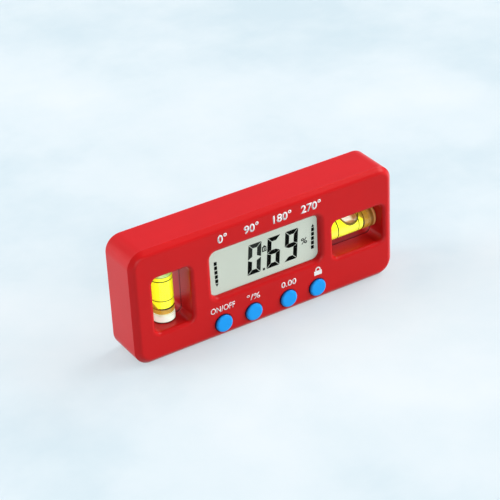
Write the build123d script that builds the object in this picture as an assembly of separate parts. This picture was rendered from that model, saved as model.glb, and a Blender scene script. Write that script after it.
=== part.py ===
from build123d import *
import math
import os

# Millimetres. X runs along the case, Y from the front to the back, Z up.
# The origin is the middle of the base face.

# Case: a deep front tub with a bevelled front edge, closed by a plate let into its back
LENGTH = 100.0
HEIGHT = 41.5
DEPTH = 16.0
CORNER_R = 5.5
BEVEL = 1.7
BEVEL_FRONT_SOFT = 1.8
BEVEL_SIDE_SOFT = 0.25
BACK_SOFT = 0.4
WALL = 2.0
FRONT_WALL = 2.1
RIM_WALL = 1.2
COVER_THICK = 2.0
COVER_GAP = 0.12
INNER_GAP = 0.15

# Sight windows: the level window lies on the right, the plumb window stands on the left.
# Each stands off its end of the case by an edge, and both lie a little under mid height.
LEVEL_EDGE = 3.9
PLUMB_EDGE = 7.55
WINDOW_DROP = 0.25
WINDOW_LONG = 20.3
WINDOW_SHORT = 13.9
WINDOW_R = 2.2
WINDOW_SOFT = 1.4
WINDOW_LAND = 0.05
WINDOW_BACK_SOFT = 0.5
COLLAR_WALL = 1.3
PARTING_Y = -0.3
PARTING_GAP = 0.25

# Spirit vials: both alike, each with a barrel bore, a stopper and an end cap
VIAL_R = 3.85
VIAL_EDGE = 0.6
SOCKET_DEPTH = 0.25
SOCKET_GAP = 0.05
END_CAP_LONG = 3.0
STOPPER_LONG = 2.0
CLOSED_END = 2.0
BORE_R = 2.75
BARREL_RISE = 0.1
FIT_GAP = 0.02
BUBBLE_LONG = 7.0
BUBBLE_HIGH = 3.0
BUBBLE_GAP = 0.05
BUBBLE_DRIFT = 2.1
PLUMB_BUBBLE_HIGH = 1.9
PLUMB_BUBBLE_SOFT = 0.8

# Display recess, window, liquid crystal panel and the frame that holds them to the board.
# The recess takes up the face between the sight windows, less a margin on each side, and
# its rim rolls over from the face down to the view.
DISPLAY_LEFT = 5.7
DISPLAY_RIGHT = 3.15
DISPLAY_OVER = 7.45
DISPLAY_UNDER = 13.4
RECESS_LIP = 0.2
VIEW_R = 2.4
LENS_THICK = 0.3
LENS_LAP = 1.5
LENS_R = 1.0
PANE_PROUD = 0.5
PANE_GAP = 0.2
LCD_THICK = 1.8
LCD_LAP = 1.5
LCD_GAP = 0.1
FRAME_WALL = 0.6
FRAME_GAP = 0.1
ZEBRA_HIGH = 1.8
ZEBRA_WIDE = 1.6
ZEBRA_EDGE = 1.0
ZEBRA_END = 3.0
ZEBRA_GAP = 0.1

# Main board and what is soldered to its back
BOARD_THICK = 1.2
BOARD_GAP = 0.8
BOARD_R = 1.0
CHIP_SIZE = 7.0
CHIP_HIGH = 1.2
CHIP_INSET = 8.0
SENSOR_SIZE = 3.0
SENSOR_HIGH = 0.9
SENSOR_INSET = 7.0
CRYSTAL_LONG = 6.0
CRYSTAL_R = 0.75
CRYSTAL_INSET = 8.0
CAPACITOR_LONG = 1.6
CAPACITOR_WIDE = 0.8
CAPACITOR_PITCH = 2.6
CAPACITOR_COUNT = 6
CAPACITOR_INSET = 3.0
CAPACITOR_Z = 8.0

# Push keys, spread along the recess width, and the tactile switches behind them
KEY_Z = 5.4
KEY_SHIFT = 0.6
KEY_INNER_SHARE = 0.149
KEY_OUTER_SHARE = 0.402
KEY_R = 3.15
KEY_PROUD = 1.0
KEY_SOFT = 0.8
KEY_GAP = 0.2
KEY_TRAVEL = 0.5
FLANGE_LAP = 0.5
FLANGE_THICK = 0.8
FLANGE_GAP = 0.05
SWITCH_SIZE = 4.5
SWITCH_CLEAR = 0.4
PLUNGER_R = 1.1
PLUNGER_IN = 0.8
PLUNGER_GAP = 0.05

# Coin cell, its well in the rear cover and the door that turns to open
CELL_R = 10.0
CELL_THICK = 3.2
CELL_CAP_R = 8.6
CELL_CAP_HIGH = 0.3
CELL_GAP = 0.3
CELL_SLACK = 0.1
WELL_WALL = 1.2
WELL_FLOOR = 0.9
DOOR_FACE = 1.5
DOOR_WALL = 1.4
DOOR_GAP = 0.15
LUG_COUNT = 3
LUG_REACH = 1.25
LUG_WIDE = 5.0
LUG_THICK = 1.2
LUG_GAP = 0.1
LUG_SIDE_GAP = 0.4
DOOR_TURN = 60.0
COIN_SLOT_LONG = 13.0
COIN_SLOT_WIDE = 1.8
COIN_SLOT_DEEP = 0.8
CONTACT_THICK = 0.25
CONTACT_WIDE = 4.0
CONTACT_RISE = 0.4
CONTACT_REACH = 6.0
CONTACT_TAIL = 1.5
CONTACT_FOOT = 1.6
CONTACT_DIMPLE_R = 1.0
CONTACT_GAP = 0.2

# Screws
COVER_BOSS_R = 2.4
COVER_BOSS_INSET = 6.0
COVER_SCREW_R = 1.0
COVER_SCREW_LONG = 8.0
COVER_HEAD_R = 1.9
COVER_HEAD_HIGH = 1.3
BOARD_BOSS_R = 1.5
BOARD_BOSS_GAP = 0.7
BOARD_BOSS_INSET = 2.3
BOARD_SCREW_R = 0.75
BOARD_SCREW_LONG = 4.0
BOARD_HEAD_R = 1.4
BOARD_HEAD_HIGH = 0.9
HEAD_GAP = 0.15
SHANK_GAP = 0.2
THREAD_GAP = 0.02
PILOT_EXTRA = 0.5
CROSS_WIDE = 0.5
CROSS_DEEP = 0.6

# Magnets let into the base, standing a hair proud so that their ground faces bear on the work
MAGNET_END = 16.0
MAGNET_R = 4.0
MAGNET_THICK = 3.0
MAGNET_PROUD = 0.1
MAGNET_WALL = 1.2
MAGNET_GAP = 0.05

# Depths worked out from the front face and from the back face
FRONT_Y = -DEPTH / 2
BACK_Y = DEPTH / 2
INNER_Y = FRONT_Y + FRONT_WALL
LENS_BACK_Y = INNER_Y + LENS_THICK
LCD_BACK_Y = LENS_BACK_Y + LCD_THICK
BOARD_FRONT_Y = LCD_BACK_Y + ZEBRA_HIGH
BOARD_BACK_Y = BOARD_FRONT_Y + BOARD_THICK
COVER_Y = BACK_Y - COVER_THICK
FLANGE_FRONT_Y = INNER_Y + FLANGE_GAP
FLANGE_BACK_Y = FLANGE_FRONT_Y + FLANGE_THICK
SWITCH_TOP_Y = FLANGE_BACK_Y + KEY_TRAVEL + SWITCH_CLEAR
PLUNGER_BACK_Y = SWITCH_TOP_Y + PLUNGER_IN
DOOR_INNER_Y = BACK_Y - DOOR_FACE
CELL_BACK_Y = DOOR_INNER_Y - CELL_SLACK
CELL_FRONT_Y = CELL_BACK_Y - CELL_THICK
WELL_Y = CELL_FRONT_Y - CONTACT_RISE
WELL_FRONT_Y = WELL_Y - WELL_FLOOR
LUG_BACK_Y = DOOR_INNER_Y - LUG_GAP
LUG_FRONT_Y = LUG_BACK_Y - LUG_THICK
GROOVE_FRONT_Y = LUG_FRONT_Y - LUG_GAP

# Places of the sight windows, the display between them and the cell behind it; a window's
# round front edge leaves the bevel's soft edge clear
LEVEL_X = LENGTH / 2 - LEVEL_EDGE - WINDOW_LONG / 2
PLUMB_X = PLUMB_EDGE + WINDOW_SHORT / 2 - LENGTH / 2
WINDOW_Z = HEIGHT / 2 - WINDOW_DROP
BEVEL_REACH = BEVEL + BEVEL_FRONT_SOFT * math.tan(math.radians(22.5))
WINDOW_ROUND = min(WINDOW_SOFT, LEVEL_EDGE - BEVEL_REACH - WINDOW_LAND)
FACE_LEFT = PLUMB_X + WINDOW_SHORT / 2
FACE_RIGHT = LEVEL_X - WINDOW_LONG / 2
RECESS_WIDE = FACE_RIGHT - DISPLAY_RIGHT - FACE_LEFT - DISPLAY_LEFT
RECESS_HIGH = HEIGHT - DISPLAY_OVER - DISPLAY_UNDER
PANEL_X = FACE_LEFT + DISPLAY_LEFT + RECESS_WIDE / 2
DISPLAY_Z = DISPLAY_UNDER + RECESS_HIGH / 2
CELL_X = (FACE_LEFT + FACE_RIGHT) / 2
CELL_Z = HEIGHT / 2
MAGNET_X = LENGTH / 2 - MAGNET_END

# Radii about the cell's axis
WELL_R = CELL_R + CELL_GAP
SKIRT_R = WELL_R + FIT_GAP
DOOR_R = SKIRT_R + DOOR_WALL
DOOR_HOLE_R = DOOR_R + DOOR_GAP
LUG_R = DOOR_R + LUG_REACH
GROOVE_R = LUG_R + DOOR_GAP
WELL_RING_R = GROOVE_R + WELL_WALL

# Display outlines
RECESS_SOFT = FRONT_WALL - RECESS_LIP
VIEW_WIDE = RECESS_WIDE - 2 * RECESS_SOFT
VIEW_HIGH = RECESS_HIGH - 2 * RECESS_SOFT
LCD_WIDE = VIEW_WIDE + 2 * LCD_LAP
LCD_HIGH = VIEW_HIGH + 2 * LCD_LAP
FRAME_TOP = DISPLAY_Z + LCD_HIGH / 2 + LCD_GAP + FRAME_WALL
ZEBRA_LONG = LCD_WIDE - 2 * ZEBRA_END
ZEBRA_OFFSET = LCD_HIGH / 2 - ZEBRA_EDGE - ZEBRA_WIDE / 2

# Vial stations, measured along the vial from its capped end
VIAL_LONG = WINDOW_LONG + 2 * (SOCKET_DEPTH - SOCKET_GAP)
BORE_START = END_CAP_LONG + STOPPER_LONG
BORE_END = VIAL_LONG - CLOSED_END
BORE_MIDDLE = (BORE_START + BORE_END) / 2
BORE_END_R = BORE_R - BARREL_RISE

# Board edges, set by the window collars and the case walls
BOARD_LEFT = FACE_LEFT + COLLAR_WALL + BOARD_GAP
BOARD_RIGHT = FACE_RIGHT - COLLAR_WALL - BOARD_GAP
BOARD_BOTTOM = WALL + BOARD_GAP
BOARD_TOP = HEIGHT - WALL - BOARD_GAP

# Places: each window is (x, width, height); each key is (name, x)
LEVEL_WINDOW = (LEVEL_X, WINDOW_LONG, WINDOW_SHORT)
PLUMB_WINDOW = (PLUMB_X, WINDOW_SHORT, WINDOW_LONG)
WINDOWS = (LEVEL_WINDOW, PLUMB_WINDOW)
KEYS_X = PANEL_X + KEY_SHIFT
KEYS = (
    ("power", KEYS_X - KEY_OUTER_SHARE * RECESS_WIDE),
    ("unit", KEYS_X - KEY_INNER_SHARE * RECESS_WIDE),
    ("zero", KEYS_X + KEY_INNER_SHARE * RECESS_WIDE),
    ("hold", KEYS_X + KEY_OUTER_SHARE * RECESS_WIDE),
)
COVER_SCREW_PLACES = [
    (side * (LENGTH / 2 - COVER_BOSS_INSET), z)
    for side in (-1, 1)
    for z in (COVER_BOSS_INSET, HEIGHT - COVER_BOSS_INSET)
]
UPPER_BOSS_Z = FRAME_TOP + BOARD_BOSS_GAP + BOARD_BOSS_R
BOARD_SCREW_PLACES = [
    (BOARD_LEFT + BOARD_BOSS_INSET, UPPER_BOSS_Z),
    (BOARD_RIGHT - BOARD_BOSS_INSET, UPPER_BOSS_Z),
    (BOARD_LEFT + BOARD_BOSS_INSET, KEY_Z),
    (KEYS_X, KEY_Z),
]
LEVEL_PLACE = Pos(LEVEL_X + VIAL_LONG / 2, PARTING_Y, WINDOW_Z) * Rot(0, -90, 0)
PLUMB_PLACE = Pos(PLUMB_X, PARTING_Y, WINDOW_Z - VIAL_LONG / 2)


def facing(x, y, z):
    """Plane seen from the front: its normal is -Y and its second axis is +Z."""
    return Plane(origin=(x, y, z), x_dir=(1, 0, 0), z_dir=(0, -1, 0))


def plate(x, z, width, height, radius, front, back):
    """Upright plate with rounded corners between two depths."""
    return extrude(facing(x, back, z) * RectangleRounded(width, height, radius), back - front)


def block(x, z, width, height, front, back):
    """Square-cornered block about a centre in X and Z, between two depths."""
    return Pos(x, (front + back) / 2, z) * Box(width, back - front, height)


def disc(x, z, radius, front, back):
    """Round slug with its axis along Y, between two depths."""
    return extrude(facing(x, back, z) * Circle(radius), back - front)


def case_plate(inset, front, back):
    """Plate with the outline of the case, drawn in by an inset."""
    return plate(
        0, HEIGHT / 2, LENGTH - 2 * inset, HEIGHT - 2 * inset, CORNER_R - inset, front, back
    )


def window_plate(window, grow, front, back):
    """Plate with the outline of a sight window, grown outward."""
    x, width, height = window
    return plate(
        x, WINDOW_Z, width + 2 * grow, height + 2 * grow, WINDOW_R + grow, front, back
    )


def edges_at(shape, depth):
    """Edges that lie at one depth."""
    return shape.edges().filter_by_position(Axis.Y, depth - 0.001, depth + 0.001)


def opening_edges(shape, depth, x, z, width, height):
    """Edges of one opening at one depth."""
    found = []
    for edge in edges_at(shape, depth):
        middle = edge.center()
        inside_x = abs(middle.X - x) < width / 2 + 0.01
        inside_z = abs(middle.Z - z) < height / 2 + 0.01
        if inside_x and inside_z:
            found.append(edge)
    return found


def window_edges(shape, depth):
    """Edges of both sight windows at one depth."""
    return [
        edge
        for x, width, height in WINDOWS
        for edge in opening_edges(shape, depth, x, WINDOW_Z, width, height)
    ]


def vial_rod(radius, start, end):
    """Rod on a vial's axis between two stations."""
    return Pos(0, 0, (start + end) / 2) * Cylinder(radius, end - start)


def barrel(shrink):
    """Barrel-shaped space of the bore, drawn in all round."""
    bottom = BORE_START + shrink
    top = BORE_END - shrink
    end_r = BORE_END_R - shrink
    outline = make_face([
        Line((0, bottom), (end_r, bottom)),
        ThreePointArc((end_r, bottom), (BORE_R - shrink, BORE_MIDDLE), (end_r, top)),
        Line((end_r, top), (0, top)),
        Line((0, top), (0, bottom)),
    ])
    return revolve(Plane.XZ * outline, Axis.Z)


def vial_tube():
    """Clear tube, closed at its far end and bored from the capped end."""
    tube = vial_rod(VIAL_R, END_CAP_LONG, VIAL_LONG)
    tube = chamfer(tube.edges().group_by(Axis.Z)[-1], VIAL_EDGE)
    return tube - vial_rod(BORE_END_R, END_CAP_LONG, BORE_START) - barrel(0)


def vial_stopper():
    """Plug in the mouth of the bore."""
    return vial_rod(BORE_END_R - FIT_GAP, END_CAP_LONG, BORE_START)


def vial_end_cap():
    """Clear disc that closes the capped end."""
    cap = vial_rod(VIAL_R, 0, END_CAP_LONG)
    return chamfer(cap.edges().group_by(Axis.Z)[0], VIAL_EDGE)


def level_bubble(grow):
    """Flattened bubble under the top of a lying bore, a little off its middle: the widest that fits."""
    top = BORE_END_R - FIT_GAP - BUBBLE_GAP
    half_high = BUBBLE_HIGH / 2
    half_wide = math.sqrt(half_high * top)
    size = (half_high + grow, half_wide + grow, BUBBLE_LONG / 2 + grow)
    return Pos(top - half_high, 0, BORE_MIDDLE - BUBBLE_DRIFT) * scale(Sphere(1), by=size)


def plumb_bubble(grow):
    """Bubble gathered under the closed end of a standing bore."""
    top = BORE_END - FIT_GAP - BUBBLE_GAP
    radius = BORE_END_R - FIT_GAP - BUBBLE_GAP
    slug = vial_rod(radius + grow, top - PLUMB_BUBBLE_HIGH - grow, top + grow)
    return fillet(slug.edges().filter_by(GeomType.CIRCLE), PLUMB_BUBBLE_SOFT)


def vial_liquid(bubble_space):
    """Liquid that fills the bore around the bubble."""
    return barrel(FIT_GAP) - bubble_space


def vial_sockets():
    """Round seats cut into the window ends for both vials."""
    seat = vial_rod(VIAL_R + SOCKET_GAP, -SOCKET_GAP, VIAL_LONG + SOCKET_GAP)
    return LEVEL_PLACE * seat + PLUMB_PLACE * seat


def case_shell():
    """Outer tub: bevelled at the front, hollow, with a seat for the rear cover."""
    shell = case_plate(0, FRONT_Y, BACK_Y)
    shell = chamfer(edges_at(shell, FRONT_Y), BEVEL)
    shell = fillet(edges_at(shell, FRONT_Y), BEVEL_FRONT_SOFT)
    shell = fillet(edges_at(shell, FRONT_Y + BEVEL), BEVEL_SIDE_SOFT)
    shell = fillet(edges_at(shell, BACK_Y), BACK_SOFT)
    shell -= case_plate(WALL, INNER_Y, BACK_Y)
    return shell - case_plate(RIM_WALL, COVER_Y, BACK_Y)


def magnet_slug(radius, bottom, top):
    """Upright slugs at both magnet places."""
    slug = Pos(0, 0, (bottom + top) / 2) * Cylinder(radius, top - bottom)
    return [Pos(side * MAGNET_X, 0, 0) * slug for side in (-1, 1)]


def front_housing():
    """Front tub with its window collars, screw bosses, magnet pockets and openings."""
    body = case_shell()
    for window in WINDOWS:
        body += window_plate(window, COLLAR_WALL, INNER_Y, PARTING_Y)
    for x, z in COVER_SCREW_PLACES:
        body += disc(x, z, COVER_BOSS_R, INNER_Y, COVER_Y)
    for x, z in BOARD_SCREW_PLACES:
        body += disc(x, z, BOARD_BOSS_R, INNER_Y, BOARD_FRONT_Y)
    pocket_top = MAGNET_THICK - MAGNET_PROUD
    for boss in magnet_slug(MAGNET_R + MAGNET_GAP + MAGNET_WALL, WALL / 2, pocket_top + MAGNET_WALL):
        body += boss & case_plate(WALL / 2, INNER_Y, COVER_Y)
    for window in WINDOWS:
        body -= window_plate(window, 0, FRONT_Y, PARTING_Y)
    body = fillet(window_edges(body, FRONT_Y), WINDOW_ROUND)
    body -= vial_sockets()
    body -= plate(PANEL_X, DISPLAY_Z, VIEW_WIDE, VIEW_HIGH, VIEW_R, FRONT_Y, INNER_Y)
    body = fillet(
        opening_edges(body, FRONT_Y, PANEL_X, DISPLAY_Z, VIEW_WIDE, VIEW_HIGH), RECESS_SOFT
    )
    key_back = FLANGE_BACK_Y + KEY_TRAVEL + FLANGE_GAP
    for name, x in KEYS:
        body -= disc(x, KEY_Z, KEY_R + KEY_GAP, FRONT_Y, key_back)
        flange_room = disc(x, KEY_Z, KEY_R + FLANGE_LAP + KEY_GAP, INNER_Y, key_back)
        body -= flange_room & case_plate(WALL, INNER_Y, BACK_Y)
    for pocket in magnet_slug(MAGNET_R + MAGNET_GAP, 0, pocket_top):
        body -= pocket
    for x, z in COVER_SCREW_PLACES:
        tip = BACK_Y - COVER_HEAD_HIGH - COVER_SCREW_LONG
        body -= disc(x, z, COVER_SCREW_R + THREAD_GAP, tip - PILOT_EXTRA, COVER_Y)
    for x, z in BOARD_SCREW_PLACES:
        tip = BOARD_BACK_Y - BOARD_SCREW_LONG
        body -= disc(x, z, BOARD_SCREW_R + THREAD_GAP, tip - PILOT_EXTRA, BOARD_FRONT_Y)
    return body


def door_lugs(angle, reach, width, front, back):
    """Lugs round the door's rim, turned about the cell's axis."""
    outer = disc(CELL_X, CELL_Z, reach, front, back)
    lugs = []
    for index in range(LUG_COUNT):
        turn = Rot(0, angle + index * 360 / LUG_COUNT, 0)
        bar = Pos(0, (front + back) / 2, reach - LUG_REACH) * Box(width, back - front, 2 * LUG_REACH)
        lugs.append(Pos(CELL_X, 0, CELL_Z) * turn * bar & outer)
    return lugs


def rear_cover():
    """Back plate with its window collars and the battery well."""
    cover = case_plate(RIM_WALL + COVER_GAP, COVER_Y, BACK_Y)
    inside = case_plate(WALL + INNER_GAP, WELL_FRONT_Y - DEPTH, BACK_Y)
    for window in WINDOWS:
        cover += window_plate(window, COLLAR_WALL, PARTING_Y + PARTING_GAP, COVER_Y) & inside
    cover += disc(CELL_X, CELL_Z, WELL_R + WELL_WALL, WELL_FRONT_Y, COVER_Y)
    cover += disc(CELL_X, CELL_Z, WELL_RING_R, GROOVE_FRONT_Y - WELL_WALL, COVER_Y)
    for window in WINDOWS:
        cover -= window_plate(window, 0, PARTING_Y, BACK_Y)
    cover = fillet(window_edges(cover, BACK_Y), WINDOW_BACK_SOFT)
    cover -= vial_sockets()
    cover -= disc(CELL_X, CELL_Z, WELL_R, WELL_Y, BACK_Y)
    cover -= disc(CELL_X, CELL_Z, DOOR_HOLE_R, GROOVE_FRONT_Y, BACK_Y)
    cover -= disc(CELL_X, CELL_Z, GROOVE_R, GROOVE_FRONT_Y, DOOR_INNER_Y)
    entry_width = LUG_WIDE + 2 * LUG_SIDE_GAP
    for entry in door_lugs(DOOR_TURN, GROOVE_R, entry_width, GROOVE_FRONT_Y, BACK_Y):
        cover -= entry
    cover -= negative_contact_slot()
    cover -= positive_contact_slot()
    for x, z in COVER_SCREW_PLACES:
        cover -= disc(x, z, COVER_BOSS_R + INNER_GAP, PARTING_Y, COVER_Y)
        cover -= disc(x, z, COVER_SCREW_R + SHANK_GAP, COVER_Y, BACK_Y)
        cover -= disc(x, z, COVER_HEAD_R + HEAD_GAP, BACK_Y - COVER_HEAD_HIGH, BACK_Y)
    return cover


def battery_door():
    """Round door with a coin slot outside, a skirt round the cell and locking lugs."""
    door = disc(CELL_X, CELL_Z, DOOR_R, LUG_FRONT_Y, BACK_Y)
    door -= disc(CELL_X, CELL_Z, SKIRT_R, LUG_FRONT_Y, DOOR_INNER_Y)
    for lug in door_lugs(0, LUG_R, LUG_WIDE, LUG_FRONT_Y, LUG_BACK_Y):
        door += lug - disc(CELL_X, CELL_Z, SKIRT_R, LUG_FRONT_Y, LUG_BACK_Y)
    slot = plate(
        CELL_X, CELL_Z, COIN_SLOT_LONG, COIN_SLOT_WIDE, COIN_SLOT_WIDE * 0.45,
        BACK_Y - COIN_SLOT_DEEP, BACK_Y,
    )
    return door - slot


def coin_cell():
    """Button cell: the wide can toward the door, the narrower cap toward the board."""
    can = disc(CELL_X, CELL_Z, CELL_R, CELL_FRONT_Y + CELL_CAP_HIGH, CELL_BACK_Y)
    can = fillet(edges_at(can, CELL_BACK_Y), CELL_CAP_HIGH)
    return can + disc(CELL_X, CELL_Z, CELL_CAP_R, CELL_FRONT_Y, CELL_FRONT_Y + CELL_CAP_HIGH)


def negative_contact():
    """Leaf on the well floor with a dimple under the cell and a leg down to the board."""
    start = CELL_X - CONTACT_REACH
    end = CELL_X + CONTACT_TAIL
    leaf_back = WELL_Y + CONTACT_THICK
    leaf = block((start + end) / 2, CELL_Z, end - start, CONTACT_WIDE, WELL_Y, leaf_back)
    dimple = disc(CELL_X, CELL_Z, CONTACT_DIMPLE_R, WELL_Y, CELL_FRONT_Y)
    leg_x = start + CONTACT_THICK / 2
    leg = block(leg_x, CELL_Z, CONTACT_THICK, CONTACT_WIDE, BOARD_BACK_Y, leaf_back)
    foot = block(
        start + CONTACT_FOOT / 2, CELL_Z, CONTACT_FOOT, CONTACT_WIDE,
        BOARD_BACK_Y, BOARD_BACK_Y + CONTACT_THICK,
    )
    return leaf + dimple + leg + foot


def negative_contact_slot():
    """Slot through the well floor for the leaf's leg."""
    leg_x = CELL_X - CONTACT_REACH + CONTACT_THICK / 2
    return block(
        leg_x, CELL_Z, CONTACT_THICK + 2 * CONTACT_GAP, CONTACT_WIDE + 2 * CONTACT_GAP,
        WELL_FRONT_Y, WELL_Y,
    )


def positive_contact():
    """Strip beside the cell's rim with a foot on the board."""
    strip_z = CELL_Z + CELL_R + FIT_GAP + CONTACT_THICK / 2
    strip = block(CELL_X, strip_z, CONTACT_WIDE, CONTACT_THICK, BOARD_BACK_Y, GROOVE_FRONT_Y - LUG_GAP)
    foot = block(
        CELL_X, strip_z - CONTACT_THICK / 2 + CONTACT_FOOT / 2, CONTACT_WIDE, CONTACT_FOOT,
        BOARD_BACK_Y, BOARD_BACK_Y + CONTACT_THICK,
    )
    return strip + foot


def positive_contact_slot():
    """Slot in the well wall for the strip."""
    inner = CELL_R - CELL_GAP
    outer = CELL_R + FIT_GAP + CONTACT_THICK + CONTACT_GAP
    return block(
        CELL_X, CELL_Z + (inner + outer) / 2, CONTACT_WIDE + 2 * CONTACT_GAP, outer - inner,
        WELL_FRONT_Y, GROOVE_FRONT_Y,
    )


def display_window():
    """Clear lens against the inside of the front wall, its pane standing up into the view."""
    lens = plate(
        PANEL_X, DISPLAY_Z, VIEW_WIDE + 2 * LENS_LAP, VIEW_HIGH + 2 * LENS_LAP, LENS_R,
        INNER_Y, LENS_BACK_Y,
    )
    lens += plate(
        PANEL_X, DISPLAY_Z, VIEW_WIDE - 2 * PANE_GAP, VIEW_HIGH - 2 * PANE_GAP, VIEW_R - PANE_GAP,
        INNER_Y - PANE_PROUD, LENS_BACK_Y,
    )
    return lens


def lcd_panel():
    """Glass sandwich behind the lens."""
    return block(PANEL_X, DISPLAY_Z, LCD_WIDE, LCD_HIGH, LENS_BACK_Y, LCD_BACK_Y)


def lcd_frame():
    """Frame round the panel with slots for the connector strips."""
    margin = LCD_GAP + FRAME_WALL
    frame = block(
        PANEL_X, DISPLAY_Z, LCD_WIDE + 2 * margin, LCD_HIGH + 2 * margin,
        INNER_Y + FRAME_GAP, BOARD_FRONT_Y,
    )
    frame -= block(
        PANEL_X, DISPLAY_Z, LCD_WIDE + 2 * LCD_GAP, LCD_HIGH + 2 * LCD_GAP, INNER_Y, LCD_BACK_Y
    )
    middle_high = 2 * (ZEBRA_OFFSET - ZEBRA_WIDE / 2 - ZEBRA_GAP - FRAME_WALL)
    frame -= block(PANEL_X, DISPLAY_Z, ZEBRA_LONG, middle_high, LCD_BACK_Y, BOARD_FRONT_Y)
    for side in (-1, 1):
        frame -= block(
            PANEL_X, DISPLAY_Z + side * ZEBRA_OFFSET, ZEBRA_LONG + 2 * ZEBRA_GAP,
            ZEBRA_WIDE + 2 * ZEBRA_GAP, LCD_BACK_Y, BOARD_FRONT_Y,
        )
    return frame


def zebra_strip(side):
    """Elastomer connector strip between the panel and the board."""
    return block(
        PANEL_X, DISPLAY_Z + side * ZEBRA_OFFSET, ZEBRA_LONG, ZEBRA_WIDE, LCD_BACK_Y, BOARD_FRONT_Y
    )


def main_board():
    """Circuit board between the two window collars."""
    board = plate(
        (BOARD_LEFT + BOARD_RIGHT) / 2, (BOARD_BOTTOM + BOARD_TOP) / 2,
        BOARD_RIGHT - BOARD_LEFT, BOARD_TOP - BOARD_BOTTOM, BOARD_R,
        BOARD_FRONT_Y, BOARD_BACK_Y,
    )
    for x, z in BOARD_SCREW_PLACES:
        board -= disc(x, z, BOARD_SCREW_R + SHANK_GAP, BOARD_FRONT_Y, BOARD_BACK_Y)
    return board


def microcontroller():
    """Square chip on the back of the board, upper left."""
    return block(
        BOARD_LEFT + CHIP_INSET, BOARD_TOP - CHIP_INSET, CHIP_SIZE, CHIP_SIZE,
        BOARD_BACK_Y, BOARD_BACK_Y + CHIP_HIGH,
    )


def tilt_sensor():
    """Small sensor chip on the back of the board, upper right."""
    return block(
        BOARD_RIGHT - SENSOR_INSET, BOARD_TOP - SENSOR_INSET, SENSOR_SIZE, SENSOR_SIZE,
        BOARD_BACK_Y, BOARD_BACK_Y + SENSOR_HIGH,
    )


def clock_crystal():
    """Crystal can lying on the back of the board, lower left."""
    can = Rot(0, 90, 0) * Cylinder(CRYSTAL_R, CRYSTAL_LONG)
    pad = Box(CRYSTAL_LONG, CRYSTAL_R, CRYSTAL_R)
    place = Pos(BOARD_LEFT + CRYSTAL_INSET, BOARD_BACK_Y + CRYSTAL_R, BOARD_BOTTOM + CRYSTAL_INSET)
    return place * (can + Pos(0, -CRYSTAL_R / 2, 0) * pad)


def board_capacitors():
    """Column of small chip capacitors on the back of the board, right edge."""
    x = BOARD_RIGHT - CAPACITOR_INSET
    return Compound(children=[
        block(
            x, BOARD_BOTTOM + CAPACITOR_Z + index * CAPACITOR_PITCH, CAPACITOR_LONG, CAPACITOR_WIDE,
            BOARD_BACK_Y, BOARD_BACK_Y + CAPACITOR_WIDE,
        )
        for index in range(CAPACITOR_COUNT)
    ])


def key_cap(x):
    """Round key that stands a little proud, with a flange behind the front wall."""
    cap = disc(x, KEY_Z, KEY_R, FRONT_Y - KEY_PROUD, FLANGE_BACK_Y)
    cap = fillet(edges_at(cap, FRONT_Y - KEY_PROUD), KEY_SOFT)
    flange = disc(x, KEY_Z, KEY_R + FLANGE_LAP, FLANGE_FRONT_Y, FLANGE_BACK_Y)
    return cap + (flange & case_plate(WALL + INNER_GAP, INNER_Y, BACK_Y))


def switch_plunger(x):
    """Plunger of a tactile switch, bearing on the back of its key."""
    return disc(x, KEY_Z, PLUNGER_R, FLANGE_BACK_Y, PLUNGER_BACK_Y)


def switch_body(x):
    """Tactile switch on the front of the board, bored for its plunger."""
    body = block(x, KEY_Z, SWITCH_SIZE, SWITCH_SIZE, SWITCH_TOP_Y, BOARD_FRONT_Y)
    bore_back = PLUNGER_BACK_Y + KEY_TRAVEL + PLUNGER_GAP
    return body - disc(x, KEY_Z, PLUNGER_R + PLUNGER_GAP, SWITCH_TOP_Y, bore_back)


def cross_screw(x, z, radius, length, head_r, head_high, seat):
    """Screw driven toward the front, its head seated at one depth, with a cross recess."""
    screw = disc(x, z, radius, seat - length, seat) + disc(x, z, head_r, seat, seat + head_high)
    top = seat + head_high
    bar_long = 1.3 * head_r
    for width, height in ((bar_long, CROSS_WIDE), (CROSS_WIDE, bar_long)):
        screw -= block(x, z, width, height, top - CROSS_DEEP, top)
    return screw


def rear_cover_screws():
    """Four screws that hold the rear cover to the front housing."""
    seat = BACK_Y - COVER_HEAD_HIGH
    return Compound(children=[
        cross_screw(x, z, COVER_SCREW_R, COVER_SCREW_LONG, COVER_HEAD_R, COVER_HEAD_HIGH, seat)
        for x, z in COVER_SCREW_PLACES
    ])


def board_screws():
    """Screws that hold the board to the front housing."""
    return Compound(children=[
        cross_screw(
            x, z, BOARD_SCREW_R, BOARD_SCREW_LONG, BOARD_HEAD_R, BOARD_HEAD_HIGH, BOARD_BACK_Y
        )
        for x, z in BOARD_SCREW_PLACES
    ])


def base_magnets():
    """Two disc magnets seated in the base pockets."""
    return Compound(children=magnet_slug(MAGNET_R, -MAGNET_PROUD, MAGNET_THICK - MAGNET_PROUD))


def vial_nodes(prefix, place, bubble):
    """The five pieces of one vial, at its place."""
    return {
        prefix + "_vial_tube": place * vial_tube(),
        prefix + "_vial_liquid": place * vial_liquid(bubble(BUBBLE_GAP)),
        prefix + "_vial_stopper": place * vial_stopper(),
        prefix + "_vial_end_cap": place * vial_end_cap(),
        prefix + "_bubble": place * bubble(0),
    }


def key_nodes(name, x):
    """Key, plunger and switch at one key place."""
    return {
        name + "_button": key_cap(x),
        name + "_plunger": switch_plunger(x),
        name + "_switch": switch_body(x),
    }


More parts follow.
